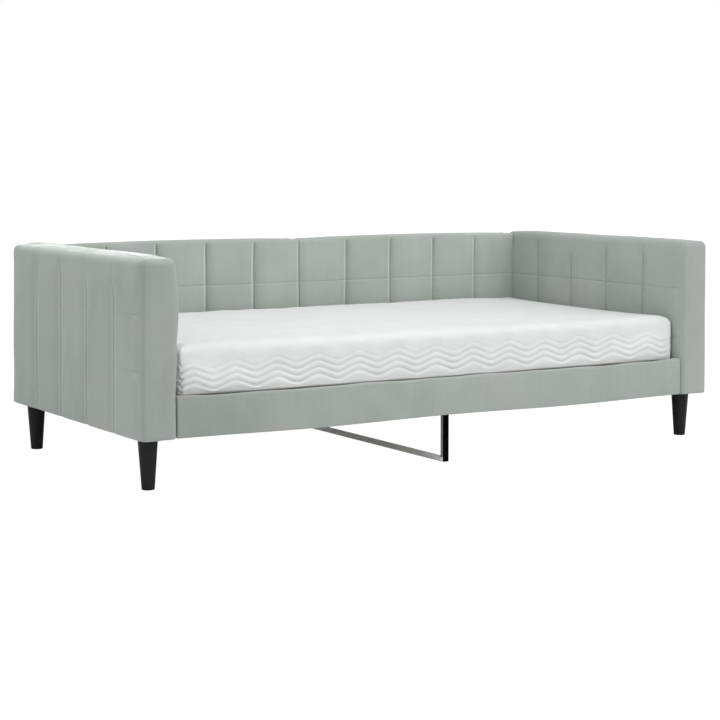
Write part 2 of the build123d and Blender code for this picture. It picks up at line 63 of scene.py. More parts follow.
# Lattices: distances from an end or a seam where lattice lines crowd in, and the step elsewhere
EDGE_STEPS = (0.004, 0.008, 0.012, 0.018, 0.025)
SEAM_STEPS = (0.0025, 0.006, 0.011, 0.018, 0.027)
THIN_STEPS = (0.004, 0.008, 0.013)
STEP = 0.012
ON_FACE = 1e-5  # nearer to a face than this is on it
AT_EDGE = 1e-4
TINY = 1e-6  # stands in for 0 where a middle point would be divided by it

# Quilted covers of the arms and the back
COLUMNS = 5
ARM_COLUMN = 0.2166
BACK_COLUMN = 0.202
BACK_SHIFT = 0.008  # of the back's seams, to the right
ROW_HEIGHTS = (0.374, 0.551)
EVEN_START = 0.03  # how far below the top a seam begins
REAR_START = 0.010
SEAM_FADE = (0.6, 1.25)  # between these shares of that it comes in
SEAM_FADE_MORE = 0.008
INNER_BULGE = 0.0115
TOP_RISE = 0.0110
ARMS = {  # shift of the seams backwards, starts of the left face's seams, bulge and rise
    "left": {"shift": 0.003, "starts": (0.100, 0.095, 0.030, 0.032),
             "bulge": INNER_BULGE, "rise": TOP_RISE},
    "right": {"shift": 0.013, "starts": (0.015, 0.032, 0.086, 0.029),
              "bulge": 0.25 * INNER_BULGE, "rise": 0.4 * TOP_RISE},
}
ARM_CORNER, ARM_TOP_ROUND = 0.026, 0.020
BACK_CORNER, BACK_TOP_ROUND = 0.007, 0.009
FOOT_ROUND = 0.003
FOOT_HANG = 0.0015  # how far a cover hangs below its CAD node
ARM_SHOULDER = (0.006, 0.07)  # below the top, between these the quilted face becomes flat
BACK_SHOULDER = (0.006, 0.022)
SEAM_WANDER = 0.0012

# How seams pull a face in
COLUMN_PULL = 0.0072
CREASE_SHARE, CREASE_WIDTH = 0.65, 0.0050
DIP_SHARE, DIP_WIDTH = 0.35, 0.018
ROW_PULL = 0.0014
ROW_DIP_WIDTH = 0.008
CROWN = 0.0020  # stuffed rise of each column between its seams
CROWN_FLATNESS = 0.6
ROW_STRENGTH = 0.8
LOW_ROW_STRENGTH = 0.15  # the lower row on an arm's inner face
OUTER_ROW_STRENGTH = 0.2  # on an arm's outer face
FRONT_ROW_STRENGTH = 2.6  # more of it at the front of that face
FRONT_ROW_REACH = 0.06
PLAIN_FRONT = (0.016, 0.034)  # from an arm's front edge, between these the rows come in
STRIP_TOP = (0.257, 0.300)  # heights between which plywood stops holding a cover out
REAR_HOLD = 0.72  # how firmly the rear board holds the back's rear face out
STRIP_SKIN = 0.0016  # how far a cover stands off the plywood

# Cloth simulation of the covers
PUFF = 0.0025  # the covers start this far inside their final faces
PUFF_CAP = 0.0030
PINNED_FOOT = 0.009

# Stitch lines
STITCH_DEPTH, STITCH_WIDTH = 0.0016, 0.0020
ROW_STITCH_DEPTH, ROW_STITCH_WIDTH = 0.0011, 0.0024
ROW_WOBBLE = 0.0015
EDGE_STITCH_DEPTH, EDGE_STITCH_WIDTH, EDGE_STITCH_INSET = 0.0012, 0.0025, 0.005
PUCKER_START = 0.006  # puckers are complete this far from their seam
PUCKER = 0.0003
SLACK = 0.0005
# Beside each seam the welt also carries a painted highlight, and the seam's other side a painted shade
WELT = 0.0014  # raised cloth beside a column's seam
WELT_PLACE, WELT_WIDTH = 0.0058, 0.0038
JOINT_WELT_PLACE = 0.0065  # beside the joint of the back's two halves
SHADE_REACH = 0.012
ROW_WELT_PLACE, ROW_WELT_WIDTH = 0.010, 0.009
ROW_WELT = 0.5  # shares of a column's welt with its painted highlight, and of its painted shade
ROW_SHADE, ROW_SHADE_WIDTH = 0.3, 0.003
OUTER_WELT, INNER_WELT, OUTER_SHADE = 0.4, 0.05, 0.5  # of the back's, on an arm's faces
PUCKER_REACH, ROW_PUCKER_REACH = 0.014, 0.020
ROW_PUCKER = 0.4

# Settled shape of the covers
BACK_BOW = 0.0090
BACK_DROP = 0.0015
BACK_BOW_FROM = 0.55
BULGE_STEPS = ((0.45, 0.29, 0.42), (0.55, 0.44, 0.54))  # share, and heights it comes in between
BULGE_END = (0.60, 0.712)  # heights it ends between
RISE_FROM = 0.66
LEAN = 0.0045
LEAN_FROM = 0.30

# Front rail
RAIL_SAG, RAIL_SAG_REACH = 0.0065, 0.13
RAIL_BOW = 0.005
RAIL_REACH = 0.0035  # into the arms' padding
RAIL_STEP = 0.010
RAIL_FOOT_STEPS = (0.002, 0.004, 0.006, 0.010)
RAIL_CORNER, RAIL_TOP_ROUND, RAIL_FOOT_ROUND = 0.003, 0.006, 0.004
RAIL_BELLY = 0.0020
RAIL_UNEVENNESS = 0.0012

# Mattress
LOW_INSET = (0.0095, 0.0048, 0.0015)  # inside the CAD node's lowest corner
HIGH_INSET = (0.0005, 0.0048, 0.0040)
MATTRESS_CORNER, MATTRESS_TOP_ROUND, MATTRESS_FOOT_ROUND = 0.014, 0.024, 0.004
MATTRESS_STEP = 0.062
MATTRESS_END_STEPS = (0.007, 0.015, 0.028)
MATTRESS_SIDE_STEPS = (0.007, 0.015, 0.0277)
RIDGE = 0.022  # pitch of the quilting on the sides
TOP_RIDGE = 0.033
FIRST_GROOVE = 0.3005
HEM = 0.2865
HEM_WIDTH = 0.014
TUCK = 0.022  # of the foot, under the hem
TUCK_LINE = 0.267
HEM_DROPS = (0.635, 0.795, 0.990)  # where the hem hangs onto the rail
DROP_DEPTH, DROP_WIDTH = 0.005, 0.028
HEM_HANG = 0.0030  # more in the middle of the bed than at its ends
HEM_UNEVENNESS = 0.0012
TOP_LIFT = 0.0125  # of the mattress's rear over its front
MATTRESS_CAP = 0.0045
WAVE_LENGTH = 0.1521
WAVE_CREST = -0.795
WAVE_HEIGHT = 0.0118
WAVE_TILT = 0.0070  # how much lower the waves run at the left end
WAVES_IN = (0.290, 0.322)  # heights between which the waves come in, and go out
WAVES_OUT = (0.405, 0.436)
QUILTING_OUT = (0.366, 0.404)
QUILT_DEPTH = 0.0041
PAD_FLATNESS = 0.6
TOP_QUILTING = 0.30
BORDER_SEAM = 0.972
BORDER_WIDTH = 0.006
BORDER_DEPTH = 0.0022
CORNER_GATHER, CORNER_REACH = 7, 0.010
REAR_WRINKLE = 0.0016
BASE_CORNER, BASE_ROUND = 0.018, 0.0008
BASE_SLACK = 0.0004

# Painted light and shade on the velvet, stored at each vertex: its colour lightens above 0 and darkens below
# 0
PAINTED_LIGHT_CONTRAST = 0.42
SEAM_SHADE = 0.6
BACK_PAINTED_LIGHT, RIGHT_PAINTED_LIGHT = 0.12, 0.42
RIGHT_PAINTED_LIGHT_GAIN = (0.1, 1.0)  # along the bed, between these the painted light on the back grows
FRONT_STRIP_PAINTED_SHADE = -0.18
RAIL_PAINTED_SHADE = -0.35
RAIL_PAINTED_SHADE_END = -0.45  # where along the bed the rail's painted shade at its left end is over

# Support's painted shade and light: how far behind the front post's face the painted shade begins, and over
# the foot bar the painted light ends
FRONT_SKIN = 0.0006
FOOT_SKIN = 0.0004

# Studio
SUNS = (  # name, direction towards it, strength, spread in degrees
    ("key", (0.50, -0.75, 0.85), 0.50, 40),
    ("top", (-0.2, 0.0, 1.0), 0.47, 90),
)
LAMPS = (  # name, place, aim, size, watts
    ("seat", (-0.35, -1.0, 2.3), (0.05, 0.35, 0.45), (1.6, 0.8), 15),
    ("right", (3.6, -2.6, 1.6), (1.0, -0.5, 0.4), (2.0, 1.5), 22),
    ("left", (-4.0, -0.6, 1.2), (-1.1, 0.0, 0.4), (1.5, 1.5), 7),
    ("arm_top", (-1.062, 0.0, 2.0), (-1.062, 0.0, 0.7), (0.08, 1.0), 0.56),
)
ARM_TOP_SPREAD = math.radians(8)
SKY = (0.98, 0.99, 1.0, 1)
SKY_STRENGTH = 0.56
FLOOR_SIZE = 600
FLOOR_GLOW = 1.12
GLOW_SHARE = 0.90


# Lattices and closed block meshes
def crowded(start, end, seams, near_end, near_seam, step):
    """Positions from start to end that land on every seam and crowd in beside seams and ends."""
    marks = [start, *seams, end]
    places = [start]
    for first, last in zip(marks, marks[1:]):
        rise = near_end if first == start else near_seam
        fall = near_end if last == end else near_seam
        low, high = first + rise[-1], last - fall[-1]
        count = max(1, round((high - low) / step))
        places += [first + d for d in rise]
        places += list(np.linspace(low, high, count + 1))[1:-1]
        places += [last - d for d in reversed(fall)]
        places.append(last)
    return np.array(places)


def rounded_outline(x, y, half_x, half_y, radius):
    """Points of a rounded rectangle and their outward directions, from points of its sharp edge."""
    inner_x = np.clip(x, radius - half_x, half_x - radius)
    inner_y = np.clip(y, radius - half_y, half_y - radius)
    out = np.maximum(np.hypot(x - inner_x, y - inner_y), TINY)
    nx, ny = (x - inner_x) / out, (y - inner_y) / out
    return inner_x + nx * radius, inner_y + ny * radius, nx, ny


def lattice_faces(counts, floor):
    """The quads round a block of lattice cells, and the number given to each lattice place used."""
    keys = {}
    faces = []

    def vertex(i, j, k):
        return keys.setdefault((i, j, k), len(keys))

    def quads(count_a, count_b, at, flip):
        for a in range(count_a):
            for b in range(count_b):
                ring = [at(a, b), at(a + 1, b), at(a + 1, b + 1), at(a, b + 1)]
                faces.append(ring[::-1] if flip else ring)

    wide, deep, tall = counts
    quads(wide, tall, lambda a, b: vertex(a, 0, b), False)
    quads(wide, tall, lambda a, b: vertex(a, deep, b), True)
    quads(deep, tall, lambda a, b: vertex(0, a, b), True)
    quads(deep, tall, lambda a, b: vertex(wide, a, b), False)
    quads(wide, deep, lambda a, b: vertex(a, b, tall), False)
    if floor:
        quads(wide, deep, lambda a, b: vertex(a, b, 0), True)
    return faces, np.array(list(keys))


def block(name, xs, ys, zs, corner, top_round, foot_round, floor=True):
    """A quad mesh of a block on a lattice, with rounded corners, top and foot edges.

    Returns the object, with each vertex's lattice place stored as "place".
    """
    faces, index = lattice_faces((len(xs) - 1, len(ys) - 1, len(zs) - 1), floor)
    place = np.stack([xs[index[:, 0]], ys[index[:, 1]], zs[index[:, 2]]], 1)
    middle_x, middle_y = (xs[0] + xs[-1]) / 2, (ys[0] + ys[-1]) / 2
    half_x, half_y = (xs[-1] - xs[0]) / 2, (ys[-1] - ys[0]) / 2
    x, y, z = place[:, 0] - middle_x, place[:, 1] - middle_y, place[:, 2]
    share = np.maximum(np.maximum(abs(x) / half_x, abs(y) / half_y), TINY)
    edge_x, edge_y, nx, ny = rounded_outline(x / share, y / share, half_x, half_y, corner)
    rise = np.clip((z - (zs[-1] - top_round)) / top_round, 0, 1) * math.pi / 2
    fall = np.clip(((zs[0] + foot_round) - z) / foot_round, 0, 1) * math.pi / 2
    inset = top_round * (1 - np.cos(rise)) + foot_round * (1 - np.cos(fall))
    height = np.where(rise > 0, zs[-1] - top_round * (1 - np.sin(rise)), z)
    height = np.where(fall > 0, zs[0] + foot_round * (1 - np.sin(fall)), height)
    across = middle_x + (edge_x - nx * inset) * share
    back = middle_y + (edge_y - ny * inset) * share
    mesh = bpy.data.meshes.new(name)
    mesh.from_pydata(np.stack([across, back, height], 1).tolist(), [], faces)
    mesh.attributes.new("place", "FLOAT_VECTOR", "POINT").data.foreach_set(
        "vector", place.astype(np.float32).ravel()
    )
    piece = bpy.data.objects.new(name, mesh)
    bpy.context.scene.collection.objects.link(piece)
    return piece


def read(piece, attribute="position"):
    """One vector per vertex of a piece's mesh."""
    data = np.empty(len(piece.data.vertices) * 3, np.float32)
    piece.data.attributes[attribute].data.foreach_get("vector", data)
    return data.reshape(-1, 3).astype(float)


def write(piece, points):
    """Move a piece's vertices to these points."""
    piece.data.vertices.foreach_set("co", points.astype(np.float32).ravel())
    piece.data.update()


def set_painted_light(piece, values):
    """Store the painted light and shade at each vertex, which lighten or darken the velvet's colour."""
    painted_light = piece.data.attributes.new("painted_light", "FLOAT", "POINT")
    painted_light.data.foreach_set("value", values.astype(np.float32))


def normals(piece):
    """One outward direction per vertex."""
    data = np.empty(len(piece.data.vertices) * 3, np.float32)
    piece.data.vertex_normals.foreach_get("vector", data)
    return data.reshape(-1, 3).astype(float)


def smooth(piece):
    """Shade a piece smoothly."""
    piece.data.polygons.foreach_set("use_smooth", np.ones(len(piece.data.polygons), bool))


def subdivided(piece):
    """Apply one level of subdivision to a piece."""
    level = piece.modifiers.new("Subdivision", "SUBSURF")
    level.levels = level.render_levels = 1
    level.boundary_smooth = "PRESERVE_CORNERS"
    bake(piece)


def bake(piece):
    """Replace a piece's mesh with what its modifiers make of it, and remove them."""
    graph = bpy.context.evaluated_depsgraph_get()
    made = bpy.data.meshes.new_from_object(piece.evaluated_get(graph), depsgraph=graph)
    piece.modifiers.clear()
    piece.data = made
    made.name = piece.name


# Shapes along a distance
def ripple(points, size, seed, waves=10):
    """Smooth seeded unevenness of about -1 to 1, with bumps of about this size."""
    rng = np.random.default_rng(seed)
    total = np.zeros(len(points))
    for _ in range(waves):
        direction = rng.normal(size=3)
        direction *= 2 * math.pi / np.linalg.norm(direction) / (size * rng.uniform(1.3, 2.8))
        total += np.sin(points @ direction + rng.uniform(0, 2 * math.pi))
    return total / math.sqrt(waves)


def ramp(value, low, high):
    """0 below low, 1 above high, smooth between."""
    t = np.clip((value - low) / (high - low), 0, 1)
    return t * t * (3 - 2 * t)


def part_ramp(least, value, low, high):
    """The least value below low, 1 above high, smooth between."""
    return least + (1 - least) * ramp(value, low, high)


def peak(off, width):
    """1 where off is 0, falling away sharply to both sides."""
    return np.exp(-abs(off) / width)


def hill(off, width):
    """1 where off is 0, falling away roundly to both sides."""
    return np.exp(-((off / width) ** 2))


def arch(share):
    """0 where a share is 0 or 1, rising to 1 in the middle."""
    return np.sin(np.clip(share, 0, 1) * math.pi)


def lengthways(place):
    """Places reduced to their X, for unevenness that runs straight across a piece."""
    return place * np.array([1, 0, 0])


def from_end(place, low, high, axis):
    """The distance to the nearer of the two ends along an axis."""
    return np.minimum(place[:, axis] - low[axis], high[axis] - place[:, axis])


# Upholstery
class Quilt:
    """Where a cover's two quilted faces are, and how their seams run.

    across is the axis the faces look along, along the axis that the columns step along.
    starts gives, for the low and the high face, how far below the top each seam begins.
    outward is the side of an arm's outer face, -1 or 1, and 0 for the back.
    """

    def __init__(self, across, along, columns, starts, outward):
        self.across, self.along, self.columns = across, along, columns
        self.starts, self.outward = starts, outward


def quilt_lattice(low, high, quilt):
    """The three lists of lattice positions of a quilted cover."""
    lists = [None, None, None]
    lists[quilt.along] = crowded(
        low[quilt.along], high[quilt.along], quilt.columns, EDGE_STEPS, SEAM_STEPS, STEP
    )
    lists[quilt.across] = crowded(
        low[quilt.across], high[quilt.across], (), THIN_STEPS, THIN_STEPS, STEP
    )
    lists[2] = crowded(low[2], high[2], ROW_HEIGHTS, EDGE_STEPS, SEAM_STEPS, STEP)
    return lists


def facing(place, low, high, quilt, corner):
    """1 on the flat of the quilted faces, fading to 0 over their edges, and the side each faces."""
    side = np.sign(place[:, quilt.across] - (low[quilt.across] + high[quilt.across]) / 2)
    on_face = from_end(place, low, high, quilt.across) < ON_FACE
    ends = from_end(place, low, high, quilt.along)
    flat = ramp(ends, corner * 0.4, corner * 1.3)
    flat *= ramp(high[2] - place[:, 2], *(ARM_SHOULDER if quilt.outward else BACK_SHOULDER))
    return np.where(on_face, flat, 0), side


def seam_fades(place, quilt, high, side):
    """Each column's seam, with how strong it is at each point: it fades out short of the top."""
    from_top = high[2] - place[:, 2]
    for number, seam in enumerate(quilt.columns):
        start = np.where(side < 0, quilt.starts[0][number], quilt.starts[1][number])
        yield seam, ramp(from_top, start * SEAM_FADE[0], start * SEAM_FADE[1] + SEAM_FADE_MORE)


def held_out(place, quilt, side):
    """How firmly plywood or board close under a cover keeps the seams from sinking in."""
    over_strip = 1 - ramp(place[:, 2], *STRIP_TOP)
    if quilt.outward:
        return np.where(side == -quilt.outward, over_strip, 0)
    return np.where(side < 0, over_strip, REAR_HOLD)


def row_strength(place, quilt, low, side):
    """How strong the row seams are: on an arm's outer face they show mostly near the front."""
    strength = np.full(len(place), ROW_STRENGTH)
    if quilt.outward:
        from_front = place[:, quilt.along] - low[quilt.along]
        outer = OUTER_ROW_STRENGTH + FRONT_ROW_STRENGTH * np.exp(-from_front / FRONT_ROW_REACH)
        lower_row = place[:, 2] < sum(ROW_HEIGHTS) / 2
        inner = np.where(lower_row, LOW_ROW_STRENGTH, ROW_STRENGTH)
        strength = np.where(side == quilt.outward, outer, inner)
        strength *= ramp(from_front, *PLAIN_FRONT)
    return strength


def seam_pull(place, quilt, low, high, side):
    """How far the seams pull a quilted face in at each point."""
    columns = np.zeros(len(place))
    for seam, fade in seam_fades(place, quilt, high, side):
        off = place[:, quilt.along] - seam
        pull = CREASE_SHARE * peak(off, CREASE_WIDTH) + DIP_SHARE * peak(off, DIP_WIDTH)
        columns = np.maximum(columns, fade * pull)
    rows = np.zeros(len(place))
    for row in ROW_HEIGHTS:
        rows = np.maximum(rows, peak(place[:, 2] - row, ROW_DIP_WIDTH))
    rows = rows * row_strength(place, quilt, low, side)
    pull = COLUMN_PULL * columns + ROW_PULL * rows * (1 - columns)
    held = held_out(place, quilt, side)
    return pull * (1 - held) - STRIP_SKIN * ramp(held, 0.8, 1)


def cell_crown(place, low, high, quilt):
    """The stuffed rise of each quilted column, 0 at its seams and 1 over most of it."""
    marks = np.array([low[quilt.along], *quilt.columns, high[quilt.along]])
    values = place[:, quilt.along]
    cell = np.clip(np.searchsorted(marks, values, side="right") - 1, 0, len(marks) - 2)
    return arch((values - marks[cell]) / (marks[cell + 1] - marks[cell])) ** CROWN_FLATNESS


def quilted_cover(name, low, high, quilt, corner, top_round, seed):
    """The coarse shape of a quilted cover, and which of its vertices the seams hold still."""
    lists = quilt_lattice(low, high, quilt)
    piece = block(name, *lists, corner, top_round, FOOT_ROUND)
    place = read(piece, "place")
    flat, side = facing(place, low, high, quilt, corner)
    points = read(piece)
    crown = CROWN * cell_crown(place, low, high, quilt)
    lift = crown - seam_pull(place, quilt, low, high, side)
    points[:, quilt.across] += side * flat * lift
    points[:, quilt.along] += SEAM_WANDER * flat * ripple(place, size=0.16, seed=seed)
    write(piece, points)
    on_seam = np.zeros(len(place), bool)
    for seam, fade in seam_fades(place, quilt, high, side):
        on_seam |= (abs(place[:, quilt.along] - seam) < ON_FACE) & (fade > 0.5)
    foot = place[:, 2] < low[2] + PINNED_FOOT
    edges = sum((from_end(place, low, high, axis) < ON_FACE).astype(int) for axis in (0, 1))
    edges += high[2] - place[:, 2] < ON_FACE
    return piece, (on_seam & (flat > 0.2)) | foot | (edges > 1)


def cover_plan(label, quilt, corner, top_round, seed, bulge=0.0, rise=0.0):
    """Everything the making of one quilted cover needs, from its CAD node's box."""
    low, high = (np.array(v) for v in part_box(f"{label}_cover"))
    low[quilt.across] += PUFF
    high[quilt.across] -= PUFF
    low[2] -= FOOT_HANG
    piece, pinned = quilted_cover(
        f"{label}_upholstery", low, high, quilt, corner, top_round, seed
    )
    place = read(piece, "place")
    freedom = part_ramp(0.12, high[2] - place[:, 2], 0.015, 0.090)
    freedom *= part_ramp(0.1, from_end(place, low, high, quilt.along), 0.004, 0.030)
    return {"label": label, "piece": piece, "pinned": pinned, "low": low, "high": high,
            "quilt": quilt, "corner": corner, "seed": seed, "cap": PUFF_CAP, "freedom": freedom,
            "bulge": bulge, "rise": rise}


def plan_upholstery():
    """The two arms' and the two back halves' covers, before their simulation."""
    even = (EVEN_START,) * (COLUMNS - 1)
    rear = (REAR_START,) * (COLUMNS - 1)
    plans = []
    for number, (end, arm) in enumerate(ARMS.items()):
        outward = -1 if end == "left" else 1
        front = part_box(f"{end}_arm_cover")[0].y
        seams = tuple(front + ARM_COLUMN * i + arm["shift"] for i in range(1, COLUMNS))
        quilt = Quilt(0, 1, seams, (arm["starts"], even), outward)
        plans.append(cover_plan(
            f"{end}_arm", quilt, ARM_CORNER, ARM_TOP_ROUND, 10 + number, arm["bulge"], arm["rise"]
        ))
        seams = sorted(outward * BACK_COLUMN * i + BACK_SHIFT for i in range(1, COLUMNS))
        quilt = Quilt(1, 0, tuple(seams), (rear, even), 0)
        plans.append(cover_plan(f"{end}_back", quilt, BACK_CORNER, BACK_TOP_ROUND, 20 + number))
    return plans


def inflate(plans, pressure=4.0, frames=20):
    """Puff pieces between their held vertices by cloth simulation, and keep a capped result."""
    scene = bpy.context.scene
    for plan in plans:
        piece = plan["piece"]
        plan["before"] = read(piece)
        group = piece.vertex_groups.new(name="pinned")
        group.add(np.nonzero(plan["pinned"])[0].tolist(), 1.0, "REPLACE")
        cloth = piece.modifiers.new("Cloth", "CLOTH")
        settings = cloth.settings
        settings.vertex_group_mass = "pinned"
        settings.quality = 4
        settings.mass = 0.3
        settings.tension_stiffness = 18
        settings.compression_stiffness = 18
        settings.shear_stiffness = 6
        settings.bending_stiffness = 1.5
        settings.use_pressure = True
        settings.uniform_pressure_force = pressure
        settings.effector_weights.gravity = 0
        settings.shrink_min = -0.01
        cloth.collision_settings.use_collision = False
        cloth.point_cache.frame_start = 1
        cloth.point_cache.frame_end = frames
    for number in range(1, frames + 1):
        scene.frame_set(number)
    for plan in plans:
        piece, cap = plan["piece"], plan["cap"]
        bake(piece)
        moved = read(piece) - plan["before"]
        length = np.maximum(np.linalg.norm(moved, axis=1, keepdims=True), TINY)
        moved *= cap * np.tanh(length / cap) / length
        write(piece, plan["before"] + moved * plan["freedom"][:, None])
        piece.vertex_groups.clear()
    scene.frame_set(1)


def stitch_lines(place, quilt, high, side, strength, wobble):
    """How deep the stitch lines sink, and how much the cloth beside them puckers."""
    groove, pucker = np.zeros(len(place)), np.zeros(len(place))
    for seam, fade in seam_fades(place, quilt, high, side):
        off = abs(place[:, quilt.along] - seam)
        groove = np.maximum(groove, STITCH_DEPTH * fade * hill(off, STITCH_WIDTH))
        pucker = np.maximum(pucker, fade * peak(off, PUCKER_REACH) * ramp(off, 0, PUCKER_START))
    for row in ROW_HEIGHTS:
        off = place[:, 2] - row + wobble
        groove = np.maximum(groove, ROW_STITCH_DEPTH * strength * hill(off, ROW_STITCH_WIDTH))
        swell = peak(off, ROW_PUCKER_REACH) * ramp(abs(off), 0, PUCKER_START)
        pucker = np.maximum(pucker, ROW_PUCKER * strength * swell)
    return groove, pucker


def seam_sides(place, quilt, high, side, strength, wobble):
    """Where the cloth rises on one side of each seam, with a painted highlight on it, and where a painted
    shade lies on its other side.
    """
    welt_and_highlight, shade = np.zeros(len(place)), np.zeros(len(place))
    left = -1 if quilt.along == 0 else 1  # towards the left, seen from in front of the face
    for seam, fade in seam_fades(place, quilt, high, side):
        off = (place[:, quilt.along] - seam) * left * -side
        welt_and_highlight = np.maximum(welt_and_highlight, fade * hill(off - WELT_PLACE, WELT_WIDTH))
        shade = np.maximum(shade, fade * peak(off + 0.002, SHADE_REACH) * (off < 0.002))
    if quilt.outward:
        welt_and_highlight *= np.where(side == quilt.outward, OUTER_WELT, INNER_WELT)
        shade *= np.where(side == quilt.outward, OUTER_SHADE, 1.0)
    else:
        joint = -place[:, 0] * left * side  # the halves' own joint, in the middle of the back
        started = ramp(high[2] - place[:, 2], 0.006, 0.016)
        welt_and_highlight = np.maximum(welt_and_highlight, started * hill(joint - JOINT_WELT_PLACE, WELT_WIDTH))
        shade = np.maximum(shade, started * peak(joint, SHADE_REACH) * (joint < 0))
    for row in ROW_HEIGHTS:
        off = row - place[:, 2] - wobble
        faint = ROW_WELT * ramp(strength, 0.6, 2.4)
        welt_and_highlight = np.maximum(welt_and_highlight, faint * hill(off - ROW_WELT_PLACE, ROW_WELT_WIDTH))
        thin = np.maximum(faint, ROW_SHADE) * np.minimum(strength, 1)
        shade = np.maximum(shade, thin * hill(off + 0.001, ROW_SHADE_WIDTH))
    return welt_and_highlight, shade


def edge_stitch(place, plan):
    """How deep the stitched line is where a quilted face meets the plain strip round the edge."""
    quilt, low, high = plan["quilt"], plan["low"], plan["high"]
    from_face = from_end(place, low, high, quilt.across)
    from_edge = np.minimum(from_end(place, low, high, quilt.along), high[2] - place[:, 2])
    line = np.where(
        from_edge < AT_EDGE, abs(from_face - EDGE_STITCH_INSET),
        np.hypot(from_edge + EDGE_STITCH_INSET, from_face),
    )
    return EDGE_STITCH_DEPTH * hill(line, EDGE_STITCH_WIDTH)


def cover_painted_light(place, plan):
    """Painted light over a cover apart from its seams: the back lighter, most towards its right end, and
    painted shade on the left arm's front strip.
    """
    if not plan["quilt"].outward:
        return BACK_PAINTED_LIGHT + RIGHT_PAINTED_LIGHT * ramp(place[:, 0], *RIGHT_PAINTED_LIGHT_GAIN)
    if plan["label"] == "left_arm":
        # painted shade on the left arm's front strip
        return FRONT_STRIP_PAINTED_SHADE * (1 - ramp(place[:, 1] - plan["low"][1], 0, 0.02))
    return 0


def bow_back(points, place, plan):
    """Raise the middle of a back half's top over its ends."""
    low, high = plan["low"], plan["high"]
    share = (place[:, 0] - low[0]) / (high[0] - low[0])
    bow = BACK_BOW * arch(share) ** 0.5 - BACK_DROP
    points[:, 2] += bow * ramp(place[:, 2], BACK_BOW_FROM, high[2])


def settle_arm(points, place, plan):
    """Bulge an arm's inner side, crown its top, and lean its outer and rear sides inwards."""
    low, high, outward = plan["low"], plan["high"], plan["quilt"].outward
    level = place[:, 2]
    inner = place[:, 0] * outward < abs(low[0] + high[0]) / 2
    swell = sum(share * ramp(level, begin, full) for share, begin, full in BULGE_STEPS)
    swell *= (1 - ramp(level, *BULGE_END)) * inner
    across = np.sin((place[:, 0] - low[0]) / (high[0] - low[0]) * math.pi)
    rise = plan["rise"] * (0.35 + 0.65 * across) * ramp(level, RISE_FROM, high[2])
    points[:, 2] += rise * ramp(from_end(place, low, high, 1), -0.01, 0.10)
    points[:, 0] -= outward * plan["bulge"] * swell
    lean = LEAN * ramp(level, LEAN_FROM, high[2])
    points[:, 0] -= outward * lean * ~inner
    points[:, 1] -= lean * ramp(place[:, 1], 0.2, high[1])


def stitched(plan):
    """Subdivide a simulated cover, sink its stitch lines and shape the cloth between them."""
    piece, quilt, low, high, seed = (plan[key] for key in ("piece", "quilt", "low", "high", "seed"))
    subdivided(piece)
    place = read(piece, "place")
    flat, side = facing(place, low, high, quilt, plan["corner"])
    held = held_out(place, quilt, side)
    strength = row_strength(place, quilt, low, side)
    wobble = ROW_WOBBLE * ripple(place, size=0.30, seed=seed + 3)
    groove, pucker = stitch_lines(place, quilt, high, side, strength, wobble)
    welt_and_highlight, shade = seam_sides(place, quilt, high, side, strength, wobble)
    # painted highlight on the welts, painted shade beside the seams, and painted light and shade over the
    # cover
    set_painted_light(piece, flat * (welt_and_highlight - SEAM_SHADE * shade) + cover_painted_light(place, plan))
    fine = ripple(place, size=0.010, seed=seed + 1)
    slow = ripple(place, size=0.12, seed=seed + 2)
    move = WELT * welt_and_highlight - groove * (1 - held) + PUCKER * pucker * fine
    move = np.where(flat > 0, move, 0) + SLACK * slow * (1 - held)
    points = read(piece) + normals(piece) * (move - edge_stitch(place, plan))[:, None]
    if quilt.outward:
        settle_arm(points, place, plan)
    else:
        bow_back(points, place, plan)
    write(piece, points)
    smooth(piece)


def stand_for(piece, body, nodes):
    """Put a piece in place of its CAD nodes, on their body."""
    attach(piece, body)
    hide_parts(*nodes)
    return piece


def finish_upholstery(plans):
    """Stitch the simulated covers and put them in place of their CAD nodes."""
    for plan in plans:
        stitched(plan)
        nodes = (f"{plan['label']}_cover", f"{plan['label']}_foam")
        stand_for(plan["piece"], "bed", nodes)
    return [plan["piece"] for plan in plans]


def make_rail():
    """The plain padded front rail, its top sagging a little between its ends."""
    low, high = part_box("front_rail_cover")
    xs = crowded(low.x - RAIL_REACH, high.x + RAIL_REACH, (), THIN_STEPS, THIN_STEPS, RAIL_STEP)
    ys = np.linspace(low.y, high.y, 7)
    zs = crowded(low.z, high.z, (), RAIL_FOOT_STEPS, (), 0.008)
    piece = block("front_rail_upholstery", xs, ys, zs, RAIL_CORNER, RAIL_TOP_ROUND, RAIL_FOOT_ROUND)
    subdivided(piece)
    place, points = read(piece, "place"), read(piece)
    share = (place[:, 2] - low.z) / (high.z - low.z)
    bow = 0.2 + np.sin(math.pi * place[:, 0] / high.x) ** 2
    sag = RAIL_SAG * ramp(high.x - abs(place[:, 0]), 0.0, RAIL_SAG_REACH)
    top = RAIL_UNEVENNESS * ripple(lengthways(place), size=0.15, seed=31) - sag
    points[:, 2] += top * ramp(share, 0.4, 1) - RAIL_BOW * bow * (1 - ramp(share, 0, 0.5))
    front = ramp((low.y + high.y) / 2 - place[:, 1], 0.002, 0.008)
    belly = arch(share)
    uneven = RAIL_UNEVENNESS * ripple(place, size=0.16, seed=32)
    points[:, 1] -= front * (RAIL_BELLY * belly + uneven * belly)
    write(piece, points)
    # painted shade darkens the rail's left end
    set_painted_light(piece, RAIL_PAINTED_SHADE * (1 - ramp(place[:, 0], low.x, RAIL_PAINTED_SHADE_END)))
    smooth(piece)
    return stand_for(piece, "bed", ("front_rail_cover", "front_rail_foam"))


# Mattress
def wave(run):
    """A rounded zigzag of -1 to 1 along a run."""
    turn = 2 * math.pi * (run - WAVE_CREST) / WAVE_LENGTH
    return (np.cos(turn) + np.cos(3 * turn) / 18) * 0.95


